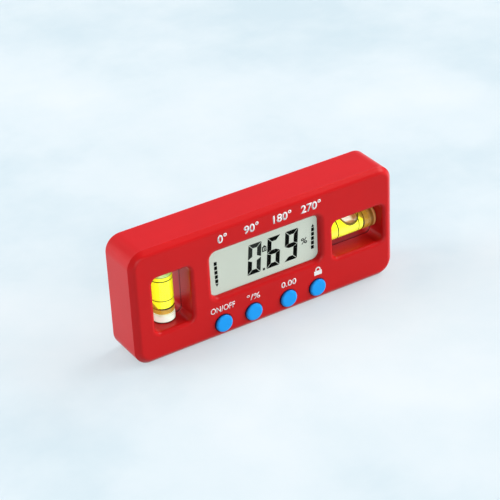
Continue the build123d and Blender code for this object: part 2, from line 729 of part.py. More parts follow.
def all_nodes():
    """Every piece of the level by name."""
    nodes = {
        "front_housing": front_housing(),
        "rear_cover": rear_cover(),
        "battery_door": battery_door(),
        "coin_cell": coin_cell(),
        "battery_negative_contact": negative_contact(),
        "battery_positive_contact": positive_contact(),
        "display_window": display_window(),
        "lcd_panel": lcd_panel(),
        "lcd_frame": lcd_frame(),
        "zebra_strip_upper": zebra_strip(1),
        "zebra_strip_lower": zebra_strip(-1),
        "main_board": main_board(),
        "microcontroller": microcontroller(),
        "tilt_sensor": tilt_sensor(),
        "clock_crystal": clock_crystal(),
        "board_capacitors": board_capacitors(),
        "rear_cover_screws": rear_cover_screws(),
        "board_screws": board_screws(),
        "base_magnets": base_magnets(),
    }
    for name, x in KEYS:
        nodes.update(key_nodes(name, x))
    nodes.update(vial_nodes("level", LEVEL_PLACE, level_bubble))
    nodes.update(vial_nodes("plumb", PLUMB_PLACE, plumb_bubble))
    return nodes


os.makedirs("parts", exist_ok=True)
for node_name, shape in all_nodes().items():
    export_step(shape, os.path.join("parts", node_name + ".step"))
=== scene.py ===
"""Looks of the digital inclinometer: materials, vials, display segments, print, light and camera."""
import math

import bmesh
import bpy
from mathutils import Matrix, Vector


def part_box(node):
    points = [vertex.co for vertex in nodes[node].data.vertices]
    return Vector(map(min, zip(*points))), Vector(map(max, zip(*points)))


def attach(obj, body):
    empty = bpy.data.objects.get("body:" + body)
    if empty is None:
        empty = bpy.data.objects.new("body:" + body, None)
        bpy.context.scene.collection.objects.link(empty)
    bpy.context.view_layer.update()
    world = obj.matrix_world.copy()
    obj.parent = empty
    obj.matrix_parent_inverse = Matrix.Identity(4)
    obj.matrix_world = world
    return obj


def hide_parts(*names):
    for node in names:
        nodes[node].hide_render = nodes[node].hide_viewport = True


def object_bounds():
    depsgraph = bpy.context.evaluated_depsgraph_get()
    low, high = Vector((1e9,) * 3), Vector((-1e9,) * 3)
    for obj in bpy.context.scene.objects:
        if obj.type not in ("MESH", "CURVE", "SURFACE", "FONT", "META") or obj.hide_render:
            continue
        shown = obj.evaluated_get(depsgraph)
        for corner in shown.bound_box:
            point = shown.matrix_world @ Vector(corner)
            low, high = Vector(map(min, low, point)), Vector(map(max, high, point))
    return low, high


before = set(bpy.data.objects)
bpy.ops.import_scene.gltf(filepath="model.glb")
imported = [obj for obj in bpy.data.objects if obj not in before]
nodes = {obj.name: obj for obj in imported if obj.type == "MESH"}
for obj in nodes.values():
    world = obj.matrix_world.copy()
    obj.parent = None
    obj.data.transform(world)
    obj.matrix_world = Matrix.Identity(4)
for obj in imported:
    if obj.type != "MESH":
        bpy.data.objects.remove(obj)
cad_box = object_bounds()
scene = bpy.context.scene
MM = 0.001


# Node helpers

GRAIN_LOW = 0.3
GRAIN_HIGH = 0.7


def material(name):
    """A new node material and its Principled shader."""
    made = bpy.data.materials.new(name)
    made.use_nodes = True
    return made, made.node_tree.nodes["Principled BSDF"]


def set_inputs(node, **inputs):
    """Sets a node's sockets by name, spaces written as underscores."""
    for key, value in inputs.items():
        node.inputs[key.replace("_", " ")].default_value = value


def add(made, kind, **inputs):
    """A new node of that kind with its sockets set."""
    node = made.node_tree.nodes.new(kind)
    set_inputs(node, **inputs)
    return node


def link(made, source, target):
    made.node_tree.links.new(source, target)


def feed(made, socket, value):
    """Gives a socket a number or another node's output."""
    if isinstance(value, float):
        socket.default_value = value
    else:
        link(made, value, socket)


def combine(made, operation, first, second):
    """Two values, each a number or a node's output, combined by a math node."""
    node = add(made, "ShaderNodeMath")
    node.operation = operation
    for socket, value in zip(node.inputs, (first, second)):
        feed(made, socket, value)
    return node.outputs["Value"]


def larger(made, first, second):
    """The larger of two patterns at each place."""
    return combine(made, "MAXIMUM", first, second)


def mix(made, factor, first, second):
    """Two shaders mixed by a factor, 0 for the first and 1 for the second."""
    node = add(made, "ShaderNodeMixShader")
    for socket, value in zip(node.inputs, (factor, first, second)):
        feed(made, socket, value)
    return node.outputs["Shader"]


def show(made, source):
    """Makes a shader the surface of a material."""
    link(made, source, made.node_tree.nodes["Material Output"].inputs["Surface"])


def grain(made, scale, detail=3.0, stretch=(1.0, 1.0, 1.0)):
    """A noise pattern laid on the object's own coordinates, scale in cells per metre."""
    place = add(made, "ShaderNodeTexCoord")
    spread = add(made, "ShaderNodeMapping", Scale=stretch)
    noise = add(made, "ShaderNodeTexNoise", Scale=scale, Detail=detail, Roughness=0.55)
    link(made, place.outputs["Object"], spread.inputs["Vector"])
    link(made, spread.outputs["Vector"], noise.inputs["Vector"])
    return noise.outputs["Fac"]


def along(made, direction, low, high, coordinates="Object"):
    """A pattern that runs from 0 to 1 between two distances along a direction, in metres on an object."""
    place = add(made, "ShaderNodeTexCoord")
    toward = add(made, "ShaderNodeVectorMath")
    toward.operation = "DOT_PRODUCT"
    toward.inputs[1].default_value = direction
    run = add(made, "ShaderNodeMapRange", From_Min=low, From_Max=high)
    link(made, place.outputs[coordinates], toward.inputs[0])
    link(made, toward.outputs["Value"], run.inputs["Value"])
    return run.outputs["Result"]


def ramp(made, source, stops):
    """A colour ramp over a pattern; stops are (position, colour)."""
    node = made.node_tree.nodes.new("ShaderNodeValToRGB")
    while len(node.color_ramp.elements) < len(stops):
        node.color_ramp.elements.new(0.5)
    for element, (position, colour) in zip(node.color_ramp.elements, stops):
        element.position = position
        element.color = (*colour, 1.0)
    link(made, source, node.inputs["Fac"])
    return node.outputs["Color"]


def mottle(first, second):
    """Stops that spread two colours over the usual range of a noise pattern."""
    return [(GRAIN_LOW, first), (GRAIN_HIGH, second)]


def spread_of(made, source, low, high):
    """A noise pattern mapped from its usual range to the range low to high."""
    node = add(made, "ShaderNodeMapRange", From_Min=GRAIN_LOW, From_Max=GRAIN_HIGH, To_Min=low, To_Max=high)
    link(made, source, node.inputs["Value"])
    return node.outputs["Result"]


def relief(made, shader, source, height):
    """Bump of that height in metres from a pattern."""
    node = add(made, "ShaderNodeBump", Strength=1.0, Distance=height)
    link(made, source, node.inputs["Height"])
    link(made, node.outputs["Normal"], shader.inputs["Normal"])


def tint(made, shader, stops, source):
    """Base colour from a ramp over a pattern."""
    link(made, ramp(made, source, stops), shader.inputs["Base Color"])


def painted_glow(made, shader, stops, source, strength):
    """Painted glow: light of its own, though the piece is no lamp, that stands in for the light dyed liquid and
    clear plastic show against a bright room.
    """
    link(made, ramp(made, source, stops), shader.inputs["Emission Color"])
    set_inputs(shader, Emission_Strength=strength)


def uneven(made, shader, source, low, high):
    """Roughness that follows a noise pattern."""
    link(made, spread_of(made, source, low, high), shader.inputs["Roughness"])


def shade(colour, factor):
    return tuple(channel * factor for channel in colour)


# Kinds of material

SPARK_CELLS = 9000.0
SPARK_DEEP = 0.000004
SPARK_SPREAD = 0.05
DRIFT_CELLS = 60.0
TOOLING_DEEP = 0.000003
TOOLING_DARK = 0.86


def spark_finish(made, shader, rough, spec, fine=SPARK_CELLS, depth=SPARK_DEEP):
    """The fine texture that a spark-eroded mould leaves, with its uneven gloss."""
    spark = grain(made, fine, 2.0)
    uneven(made, shader, spark, rough - SPARK_SPREAD, rough + SPARK_SPREAD)
    relief(made, shader, spark, depth)
    set_inputs(shader, Specular_IOR_Level=spec)


def moulded(name, colour, rough, spec, vary=0.06, fine=SPARK_CELLS, depth=SPARK_DEEP):
    """Injection-moulded plastic or print: slow colour drift over a spark texture."""
    made, shader = material(name)
    tint(made, shader, mottle(shade(colour, 1 - vary), shade(colour, 1 + vary)),
         grain(made, DRIFT_CELLS))
    spark_finish(made, shader, rough, spec, fine, depth)
    return made


def metal(name, colour, rough, stretch, scale):
    """Drawn, plated or turned metal with its tooling lines."""
    made, shader = material(name)
    lines = grain(made, scale, 4.0, stretch)
    tint(made, shader, mottle(shade(colour, TOOLING_DARK), colour), lines)
    uneven(made, shader, lines, rough - 0.06, rough + 0.08)
    relief(made, shader, lines, TOOLING_DEEP)
    set_inputs(shader, Metallic=1.0)
    return made


# Case, keys and inner pieces

BACKWARD = (0.0, 1.0, 0.0)
RED = (0.57, 0.0042, 0.0052)
# Painted shadow for the cover's parting line and painted shade for the inside of the windows.
PARTING_SHADOW_RED = shade(RED, 0.44)
WINDOW_SHADE_RED = shade(RED, 0.8)
RED_ROUGH = 0.36
RED_SPEC = 0.27
case_red = moulded("case_red", RED, RED_ROUGH, RED_SPEC, vary=0.04)
door_red = moulded("door_red", RED, 0.34, RED_SPEC, vary=0.04, fine=7000.0)

# The cover is painted darker at the parting line, a painted shadow of the gap between the halves, and dimmer
# inside the windows, painted shade; it is plain at the rear.
cover_red, shader = material("cover_red")
COVER_REDS_AND_SHADE = [(0.0, PARTING_SHADOW_RED), (0.09, PARTING_SHADOW_RED), (0.13, WINDOW_SHADE_RED), (0.79, WINDOW_SHADE_RED), (1.0, RED)]
tint(cover_red, shader, COVER_REDS_AND_SHADE, along(cover_red, BACKWARD, -0.0004, 0.0074))
spark_finish(cover_red, shader, RED_ROUGH, RED_SPEC)

# Each key is painted darker from its face down to its foot: painted shade on the side that sinks into its hole.
key_blue, shader = material("key_blue")
KEY_BLUES_AND_SHADE = [(0.0, (0.012, 0.365, 0.95)), (0.35, (0.012, 0.31, 0.88)), (0.7, (0.008, 0.10, 0.36)),
             (1.0, (0.004, 0.025, 0.09))]
tint(key_blue, shader, KEY_BLUES_AND_SHADE, along(key_blue, BACKWARD, -0.009, -0.0081))
spark_finish(key_blue, shader, 0.34, 0.22, fine=8000.0)

frame_black = moulded("frame_black", (0.012, 0.012, 0.013), 0.5, 0.4)
chip_black = moulded("chip_black", (0.016, 0.016, 0.018), 0.55, 0.35, vary=0.15, fine=15000.0)
switch_grey = moulded("switch_grey", (0.42, 0.42, 0.40), 0.45, 0.4)
switch_black = moulded("switch_black", (0.02, 0.02, 0.022), 0.5, 0.4)
capacitor_tan = moulded("capacitor_tan", (0.36, 0.24, 0.13), 0.5, 0.4, vary=0.2, fine=12000.0)

EVEN = (1.0, 1.0, 1.0)
screw_steel = metal("screw_steel", (0.56, 0.56, 0.57), 0.3, EVEN, 2500.0)
spring_steel = metal("spring_steel", (0.66, 0.64, 0.60), 0.3, (1.0, 1.0, 6.0), 1500.0)
crystal_steel = metal("crystal_steel", (0.70, 0.70, 0.70), 0.22, (0.3, 4.0, 4.0), 1200.0)
cell_steel = metal("cell_steel", (0.72, 0.72, 0.71), 0.24, (5.0, 1.0, 0.4), 900.0)
magnet_nickel = metal("magnet_nickel", (0.74, 0.72, 0.69), 0.2, EVEN, 1800.0)

zebra_rubber, shader = material("zebra_rubber")
place = add(zebra_rubber, "ShaderNodeTexCoord")
bands = add(zebra_rubber, "ShaderNodeTexWave", Scale=1600.0, Distortion=0.3)
link(zebra_rubber, place.outputs["Object"], bands.inputs["Vector"])
tint(zebra_rubber, shader, [(0.45, (0.55, 0.22, 0.20)), (0.55, (0.02, 0.02, 0.02))], bands.outputs["Fac"])
relief(zebra_rubber, shader, bands.outputs["Fac"], 0.00001)
set_inputs(shader, Roughness=0.7)

board_green, shader = material("board_green")
place = add(board_green, "ShaderNodeTexCoord")
upright = add(board_green, "ShaderNodeMapping", Rotation=(math.pi / 2, 0.0, 0.0))
tracks = add(board_green, "ShaderNodeTexBrick", Scale=220.0, Mortar_Size=0.06, Row_Height=0.35,
             Color1=(0.010, 0.085, 0.030, 1.0), Color2=(0.012, 0.10, 0.035, 1.0),
             Mortar=(0.035, 0.19, 0.07, 1.0))
link(board_green, place.outputs["Object"], upright.inputs["Vector"])
link(board_green, upright.outputs["Vector"], tracks.inputs["Vector"])
link(board_green, tracks.outputs["Color"], shader.inputs["Base Color"])
relief(board_green, shader, tracks.outputs["Fac"], 0.00002)
set_inputs(shader, Roughness=0.28)


# Print, display and lens

INK = {"vary": 0.2, "fine": 12000.0, "depth": 0.000001}
GLINT = {"vary": 0.2, "fine": 6000.0, "depth": 0.000001}
print_white = moulded("print_white", (0.86, 0.86, 0.85), 0.5, 0.3, vary=0.05, fine=16000.0, depth=0.000002)
lcd_black = moulded("lcd_black", (0.002, 0.0025, 0.002), 0.6, 0.04, **INK)
lcd_dark = moulded("lcd_dark", (0.030, 0.034, 0.031), 0.6, 0.04, **INK)
line_dark = moulded("line_dark", (0.08, 0.075, 0.006), 0.45, 0.3, **INK)
line_faint = moulded("line_faint", (0.20, 0.21, 0.02), 0.45, 0.3, **INK)
seal_brown = moulded("seal_brown", (0.075, 0.030, 0.003), 0.5, 0.02, **INK)
# The level bubble's rim is a dark ring, painted shade for its outline.
painted_shade_rim = moulded("painted_shade_rim", (0.40, 0.29, 0.035), 0.3, 0.4, **GLINT)
# The plumb bubble's rim is a bright ring, a painted highlight on its lower edge.
painted_highlight_rim = moulded("painted_highlight_rim", (0.42, 0.50, 0.05), 0.3, 0.4, **GLINT)

# The display panel has a painted glow of its own, though it is no lamp, that evens out the shade its rim throws
# on it.
lcd_grey, shader = material("lcd_grey")
cloud = grain(lcd_grey, 45.0)
weave = grain(lcd_grey, 26000.0, 1.0)
tint(lcd_grey, shader, mottle((0.44, 0.46, 0.43), (0.46, 0.48, 0.45)), cloud)
painted_glow(lcd_grey, shader, mottle((0.94, 0.985, 0.90), (0.96, 1.0, 0.92)), cloud, 0.28)
uneven(lcd_grey, shader, weave, 0.42, 0.55)
relief(lcd_grey, shader, weave, 0.000001)
set_inputs(shader, Specular_IOR_Level=0.15)

# The lens lets light straight through and mirrors only on its outer side.
lens_clear, shader = material("lens_clear")
uneven(lens_clear, shader, grain(lens_clear, 120.0), 0.02, 0.06)
set_inputs(shader, Base_Color=(0.02, 0.02, 0.02, 1.0), Specular_IOR_Level=1.0)
through = add(lens_clear, "ShaderNodeBsdfTransparent", Color=(0.985, 0.995, 0.985, 1.0))
slope = add(lens_clear, "ShaderNodeFresnel", IOR=1.16)
side = add(lens_clear, "ShaderNodeNewGeometry")
outer = combine(lens_clear, "SUBTRACT", 1.0, side.outputs["Backfacing"])
mirror = combine(lens_clear, "MULTIPLY", outer, slope.outputs["Fac"])
show(lens_clear, mix(lens_clear, mirror, through.outputs["BSDF"], shader.outputs["BSDF"]))


# Vial materials

RIGHTWARD = (1.0, 0.0, 0.0)
LEFTWARD = (-1.0, 0.0, 0.0)
UPWARD = (0.0, 0.0, 1.0)
DOWNWARD = (0.0, 0.0, -1.0)
AWAY = (0.51, 0.86, 0.0)
DULL = {"Specular_IOR_Level": 0.02}
LIQUID_HALF = 0.0026
PALE_REACH = 0.0035
FADE_FROM = 0.0002
FADE_TO = 0.0021

vial_acrylic, shader = material("vial_acrylic")
uneven(vial_acrylic, shader, grain(vial_acrylic, 300.0), 0.0, 0.03)
set_inputs(shader, Base_Color=(0.985, 0.99, 0.95, 1.0), Transmission_Weight=1.0, IOR=1.49)


def dyed_liquid(name, toward, middle, pale, start):
    """Dyed liquid with a painted glow, bright toward one side of its middle and dim on the other, that turns
    paler from start on toward another direction.
    """
    made, shader = material(name)
    paler = larger(made, along(made, pale, start, start + PALE_REACH),
                   spread_of(made, grain(made, 260.0), 0.0, 0.2))
    tint(made, shader, [(0.0, (0.95, 0.96, 0.02)), (0.4, (0.93, 0.96, 0.08)), (1.0, (0.90, 0.97, 0.32))], paler)
    painted_glow(made, shader, [(0.0, (0.08, 0.085, 0.006)), (0.3, (0.36, 0.39, 0.03)), (0.5, (0.82, 0.88, 0.02)),
                        (1.0, (0.94, 1.0, 0.03))],
         along(made, toward, middle - LIQUID_HALF, middle + LIQUID_HALF), 0.75)
    set_inputs(shader, Roughness=0.4, **DULL)
    return made


level_liquid = dyed_liquid("level_liquid", toward=(0.0, -0.82, 0.576), middle=0.01205,
                           pale=(0.0, -0.5, -0.87), start=-0.0178)
plumb_liquid = dyed_liquid("plumb_liquid", toward=(-0.51, -0.86, 0.0), middle=0.01836,
                           pale=AWAY, start=-0.0186)

# The stopper is mottled amber with a painted glow in the same colours.
vial_stopper, shader = material("vial_stopper")
swirl = grain(vial_stopper, 500.0)
AMBER = (0.50, 0.27, 0.030)
AMBERS = mottle(AMBER, (0.64, 0.38, 0.055))
tint(vial_stopper, shader, AMBERS, swirl)
painted_glow(vial_stopper, shader, AMBERS, swirl, 0.42)
set_inputs(shader, Roughness=0.5, **DULL)


def sealant(name, direction, start):
    """Amber at the seal that thins out into the colour of the liquid along a direction, with a painted glow in
    the same colours.
    """
    made, shader = material(name)
    run = along(made, direction, start + FADE_FROM, start + FADE_TO)
    fade = [(0.0, AMBER), (0.45, (0.66, 0.44, 0.05)), (1.0, (0.90, 0.86, 0.06))]
    tint(made, shader, fade, run)
    painted_glow(made, shader, fade, run, 0.35)
    uneven(made, shader, grain(made, 500.0), 0.4, 0.6)
    set_inputs(shader, **DULL)
    return made


# The plumb vial's cap is milky, with a painted shadow at its foot, and a painted glow that is dimmer on its
# rear side and at its foot.
cap_milky, shader = material("cap_milky")
streaks = grain(cap_milky, 420.0, 2.0, (0.35, 0.35, 2.4))
foot = larger(cap_milky, along(cap_milky, DOWNWARD, -0.0109, -0.0105), spread_of(cap_milky, streaks, 0.3, -0.3))
dim_rear_and_foot = larger(cap_milky, foot, along(cap_milky, AWAY, -0.0181, -0.0163))
tint(cap_milky, shader, [(0.0, (0.56, 0.61, 0.54)), (0.3, (0.36, 0.37, 0.31)), (1.0, (0.10, 0.03, 0.01))], foot)
painted_glow(cap_milky, shader, [(0.0, (0.92, 1.0, 0.84)), (0.3, (0.56, 0.58, 0.46)), (1.0, (0.02, 0.01, 0.0))],
     dim_rear_and_foot, 0.55)
set_inputs(shader, Roughness=0.3)
relief(cap_milky, shader, streaks, 0.00002)

# The level vial's cap shows the amber of its seal in bands along its length, partly painted light: the lighter
# band near its outer end is a painted highlight, and the cap has a painted glow in the same colours.
cap_amber, shader = material("cap_amber")
length = along(cap_amber, RIGHTWARD, 0.0433, 0.0463)
BROWNS_AND_RIM_LIGHT = [(0.0, (0.50, 0.27, 0.055)), (0.3, (0.22, 0.095, 0.016)), (0.5, (0.24, 0.11, 0.02)),
          (0.62, (0.62, 0.34, 0.12)), (0.8, (0.40, 0.16, 0.05)), (1.0, (0.30, 0.10, 0.03))]
tint(cap_amber, shader, BROWNS_AND_RIM_LIGHT, length)
painted_glow(cap_amber, shader, BROWNS_AND_RIM_LIGHT, length, 0.28)
uneven(cap_amber, shader, grain(cap_amber, 900.0), 0.12, 0.25)

# The level bubble's colour is painted light: a white highlight at its left that turns into a painted
# reddish-brown reflection toward its right and its lower edge, with a painted glow in the same colours.
level_air, shader = material("level_air")
turned = larger(level_air, along(level_air, RIGHTWARD, 0.0364, 0.0376),
                along(level_air, DOWNWARD, -0.0225, -0.0220))
AIR_HIGHLIGHT_AND_REFLECTION = [(0.0, (0.95, 0.94, 0.84)), (0.45, (0.80, 0.60, 0.36)), (1.0, (0.42, 0.20, 0.065))]
tint(level_air, shader, AIR_HIGHLIGHT_AND_REFLECTION, turned)
painted_glow(level_air, shader, AIR_HIGHLIGHT_AND_REFLECTION, turned, 0.6)
set_inputs(shader, Roughness=0.08, Coat_Weight=1.0)

# The plumb bubble is mottled green with a painted glow in the same colours.
plumb_air, shader = material("plumb_air")
swirl = grain(plumb_air, 400.0)
GREENS = [(0.35, (0.30, 0.54, 0.08)), (0.65, (0.62, 0.84, 0.34))]
tint(plumb_air, shader, GREENS, swirl)
painted_glow(plumb_air, shader, GREENS, swirl, 0.5)
set_inputs(shader, Roughness=0.08, Coat_Weight=1.0)


# Mesh helpers: sizes in millimetres, meshes as verts and faces

SHARP_ANGLE = math.radians(35.0)
TURN_POINTS = 96


def piece(name, verts, faces, body, slot, made):
    """A closed mesh piece given in millimetres, with outward faces and sharp edges past the angle."""
    mesh = bpy.data.meshes.new(name)
    mesh.from_pydata([(x * MM, y * MM, z * MM) for x, y, z in verts], [], faces)
    work = bmesh.new()
    work.from_mesh(mesh)
    bmesh.ops.recalc_face_normals(work, faces=work.faces)
    work.to_mesh(mesh)
    work.free()
    mesh.shade_smooth()
    mesh.set_sharp_from_angle(angle=SHARP_ANGLE)
    mesh.materials.append(made)
    obj = bpy.data.objects.new(name, mesh)
    scene.collection.objects.link(obj)
    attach(obj, body)
    return obj


def weld(obj):
    """Joins points that lie on each other."""
    work = bmesh.new()
    work.from_mesh(obj.data)
    bmesh.ops.remove_doubles(work, verts=work.verts, dist=1e-7)
    bmesh.ops.recalc_face_normals(work, faces=work.faces)
    work.to_mesh(obj.data)
    work.free()


def wrap(low, high, count):
    """Faces between two closed rings of points, each given by the index of its first point."""
    return [(low + k, low + (k + 1) % count, high + (k + 1) % count, high + k) for k in range(count)]


def lathe(profile, place, count=TURN_POINTS):
    """A body of revolution; profile is (station, radius) from pole to pole."""
    verts = [place(profile[0][0], 0.0, 0.0)]
    for station, radius in profile:
        verts += [place(station, radius, 2 * math.pi * k / count) for k in range(count)]
    verts.append(place(profile[-1][0], 0.0, 0.0))
    faces = []
    for row in range(len(profile) - 1):
        faces += wrap(1 + row * count, 1 + (row + 1) * count, count)
    last = 1 + (len(profile) - 1) * count
    for k in range(count):
        nxt = (k + 1) % count
        faces.append((0, 1 + nxt, 1 + k))
        faces.append((len(verts) - 1, last + k, last + nxt))
    return verts, faces


def rounded_rod(start, end, radius, near_soft, far_soft, steps=6):
    """Profile of a rod whose two ends are rounded over, with rings that keep its sides straight."""
    turns = [math.pi / 2 * k / steps for k in range(steps + 1)]
    ring_inset = 0.02 * (end - far_soft - start - near_soft)
    profile = [(start + near_soft * (1 - math.cos(turn)), radius - near_soft * (1 - math.sin(turn)))
               for turn in turns]
    profile.append((start + near_soft + ring_inset, radius))
    profile.append((end - far_soft - ring_inset, radius))
    profile += [(end - far_soft * (1 - math.sin(turn)), radius - far_soft * (1 - math.cos(turn)))
                for turn in turns]
    return profile


def band(low, high, inner, outer, place, count=TURN_POINTS):
    """A flat ring round a vial."""
    rim = [(low, inner), (low, outer), (high, outer), (high, inner)]
    verts = [place(station, r, 2 * math.pi * k / count) for station, r in rim for k in range(count)]
    faces = []
    for row in range(len(rim)):
        faces += wrap(row * count, (row + 1) % len(rim) * count, count)
    return verts, faces


def slab(outlines, near, far):
    """Flat shapes in x and z, given thickness from y near to y far."""
    verts = []
    faces = []
    for outline in outlines:
        base = len(verts)
        count = len(outline)
        verts += [(x, near, z) for x, z in outline] + [(x, far, z) for x, z in outline]
        faces.append(tuple(base + k for k in range(count)))
        faces.append(tuple(base + count + k for k in reversed(range(count))))
        for k in range(count):
            nxt = (k + 1) % count
            faces.append((base + k, base + count + k, base + count + nxt, base + nxt))
    return verts, faces


def joined(first, second):
    """Two meshes as one."""
    verts, faces = first
    more_verts, more_faces = second
    shift = len(verts)
    return verts + more_verts, faces + [tuple(index + shift for index in face) for face in more_faces]


# Vials: a clear rod that holds liquid, seal, stopper and bubble, with two printed lines

CORE_R = 2.62
BORE_R = 2.73
CLEAR = 0.02
SEAT_LONG = 0.08
SEAT_INSET = 0.1
SEAL_LONG = 0.3
END_WALL = 2.05
SKIN_R = BORE_R + 0.03
SKIN_THICK = 0.05
SKIN_LEAST = 0.05
SKIN_REACH = 2.5
SKIN_SPREAD = 1.2
LINE_SUNK = 0.02
LINE_PROUD = 0.015


def smear(place, start, centre, count=48):
    """A thin skin on the liquid, highest at the turn centre and running out to each side."""
    outside = SKIN_R + SKIN_THICK
    verts = []
    for k in range(count + 1):
        share = 2 * k / count - 1
        rise = math.cos(math.pi / 2 * share) ** 1.5
        top = start + SKIN_LEAST + (SKIN_REACH - SKIN_LEAST) * rise
        turn = centre + SKIN_SPREAD * share
        for station, r in ((start, SKIN_R), (start, outside), (top, outside), (top, SKIN_R)):
            verts.append(place(station, r, turn))
    faces = [(0, 1, 2, 3), tuple(4 * count + j for j in (3, 2, 1, 0))]
    for k in range(count):
        faces += wrap(4 * k, 4 * k + 4, 4)
    return verts, faces


def vial(key, axis, cap, fill, lines, skin_turn):
    """Builds one vial; axis 0 lies along x with its capped end to the right, 2 stands with it below.

    Gives back the function that places its points and the middle of its cap.
    """
    cap_low, cap_high = (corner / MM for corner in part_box(key + "_vial_end_cap"))
    tube_low, tube_high = (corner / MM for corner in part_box(key + "_vial_tube"))
    stop_low, stop_high = (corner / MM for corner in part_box(key + "_vial_stopper"))
    middle = (cap_low + cap_high) / 2
    radius = (cap_high[1] - cap_low[1]) / 2

    def place(station, r, turn):
        if axis == 0:
            return cap_high[0] - station, middle[1] + r * math.sin(turn), middle[2] + r * math.cos(turn)
        return middle[0] + r * math.sin(turn), middle[1] + r * math.cos(turn), cap_low[2] + station

    def station_of(corner):
        return cap_high[0] - corner[0] if axis == 0 else corner[2] - cap_low[2]

    def turned_mesh(start, end, r, near_soft, far_soft):
        return lathe(rounded_rod(start, end, r, near_soft, far_soft), place)

    tube_start, tube_end = sorted((station_of(tube_low), station_of(tube_high)))
    stop_end = max(station_of(stop_low), station_of(stop_high))
    mouth = tube_start + CLEAR
    plug_end = stop_end - SEAL_LONG
    rod = piece(key + "_vial_rod", *turned_mesh(mouth, tube_end, radius, near_soft=0.08, far_soft=0.6),
                "case", "vial_acrylic", vial_acrylic)
    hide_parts(key + "_vial_tube")
    piece(key + "_vial_seat",
          *turned_mesh(mouth + CLEAR, mouth + SEAT_LONG, radius - SEAT_INSET, near_soft=0.02, far_soft=0.02),
          "case", "vial_acrylic", cap)
    plug = piece(key + "_vial_plug",
                 *turned_mesh(mouth + SEAT_LONG + CLEAR, plug_end, CORE_R, near_soft=0.05, far_soft=0.05),
                 "case", "vial_stopper", vial_stopper)
    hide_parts(key + "_vial_stopper")
    piece(key + "_vial_seal",
          *turned_mesh(plug_end + CLEAR, stop_end - CLEAR, CORE_R, near_soft=0.03, far_soft=0.03),
          "case", "vial_stopper", seal_brown)
    liquid = piece(key + "_vial_fill",
                   *turned_mesh(stop_end, tube_end - END_WALL, CORE_R, near_soft=0.9, far_soft=0.4),
                   "case", "vial_liquid", fill)
    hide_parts(key + "_vial_liquid")
    direction = LEFTWARD if axis == 0 else UPWARD
    start = -stop_low[0] if axis == 0 else stop_high[2]
    piece(key + "_vial_sealant", *smear(place, stop_end, skin_turn), "case", "vial_stopper",
          sealant(key + "_sealant", direction, start * MM))
    for index, (station, wide, ink) in enumerate(lines):
        piece(f"{key}_vial_line_{index + 1}",
              *band(station - wide / 2, station + wide / 2, radius - LINE_SUNK, radius + LINE_PROUD, place),
              "case", "switch_black", ink)
    return place, middle


BUBBLE_SWEEP = 1.34
BUBBLE_EDGE_R = CORE_R - 0.03
BUBBLE_FLOOR_R = CORE_R - 0.05
BUBBLE_RINGS = 14
BUBBLE_POINTS = 72
RIM_THICK = 0.42
RIM_DEEP = 0.336
RIM_LONG = 0.3
RIM_SIDES = 8
AIR_GAP_SOFT = 0.3
EDGE_BELOW = 0.06
EDGE_ABOVE = 0.08
EDGE_SUNK = 0.1
EDGE_PROUD = 0.01


def level_bubble_piece(middle):
    """A long air bubble lying along the top of the bore, with a dark ring round it that paints the shade of its
    outline.
    """
    low, high = (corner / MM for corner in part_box("level_bubble"))
    centre = (low[0] + high[0]) / 2
    half = (high[0] - low[0]) / 2
    turns = [2 * math.pi * k / BUBBLE_POINTS for k in range(BUBBLE_POINTS)]

    def at(x, r, angle):
        return x, middle[1] + r * math.sin(angle), middle[2] + r * math.cos(angle)

    verts = []
    for domed in (True, False):
        for ring in range(BUBBLE_RINGS + 1):
            share = ring / BUBBLE_RINGS
            dome = math.sqrt(1 - share * share)
            r = BUBBLE_EDGE_R + (BORE_R - BUBBLE_EDGE_R) * dome if domed else BUBBLE_FLOOR_R
            verts += [at(centre + half * share * math.cos(turn), r, BUBBLE_SWEEP * share * math.sin(turn))
                      for turn in turns]
    faces = []
    under = (BUBBLE_RINGS + 1) * BUBBLE_POINTS
    for first in (0, under):
        for ring in range(BUBBLE_RINGS):
            start = first + ring * BUBBLE_POINTS
            faces += wrap(start, start + BUBBLE_POINTS, BUBBLE_POINTS)
    edge = BUBBLE_RINGS * BUBBLE_POINTS
    faces += wrap(edge, under + edge, BUBBLE_POINTS)
    obj = piece("level_bubble_air", verts, faces, "level_bubble", "bubble_air", level_air)
    weld(obj)
    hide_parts("level_bubble")

    verts = []
    for turn in turns:
        for j in range(RIM_SIDES):
            roll = 2 * math.pi * j / RIM_SIDES
            x = centre + (half + RIM_LONG * math.cos(roll)) * math.cos(turn)
            angle = (BUBBLE_SWEEP + RIM_THICK / CORE_R * math.cos(roll)) * math.sin(turn)
            verts.append(at(x, CORE_R + RIM_DEEP * math.sin(roll), angle))
    faces = []
    for k in range(BUBBLE_POINTS):
        faces += wrap(k * RIM_SIDES, (k + 1) % BUBBLE_POINTS * RIM_SIDES, RIM_SIDES)
    piece("level_bubble_rim", verts, faces, "level_bubble", "bubble_air", painted_shade_rim)


def plumb_bubble_piece(place):
    """A short air gap across the whole bore, with a painted highlight line along its lower edge."""
    low, high = (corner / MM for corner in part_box("plumb_bubble"))
    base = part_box("plumb_vial_end_cap")[0][2] / MM
    start, end = low[2] - base, high[2] - base
    profile = rounded_rod(start, end, BORE_R, AIR_GAP_SOFT, AIR_GAP_SOFT)
    obj = piece("plumb_bubble_air", *lathe(profile, place), "plumb_bubble", "bubble_air", plumb_air)
    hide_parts("plumb_bubble")
    edge = band(start - EDGE_BELOW, start + EDGE_ABOVE, BORE_R - EDGE_SUNK, BORE_R + EDGE_PROUD, place)
    piece("plumb_bubble_rim", *edge, "plumb_bubble", "bubble_air", painted_highlight_rim)


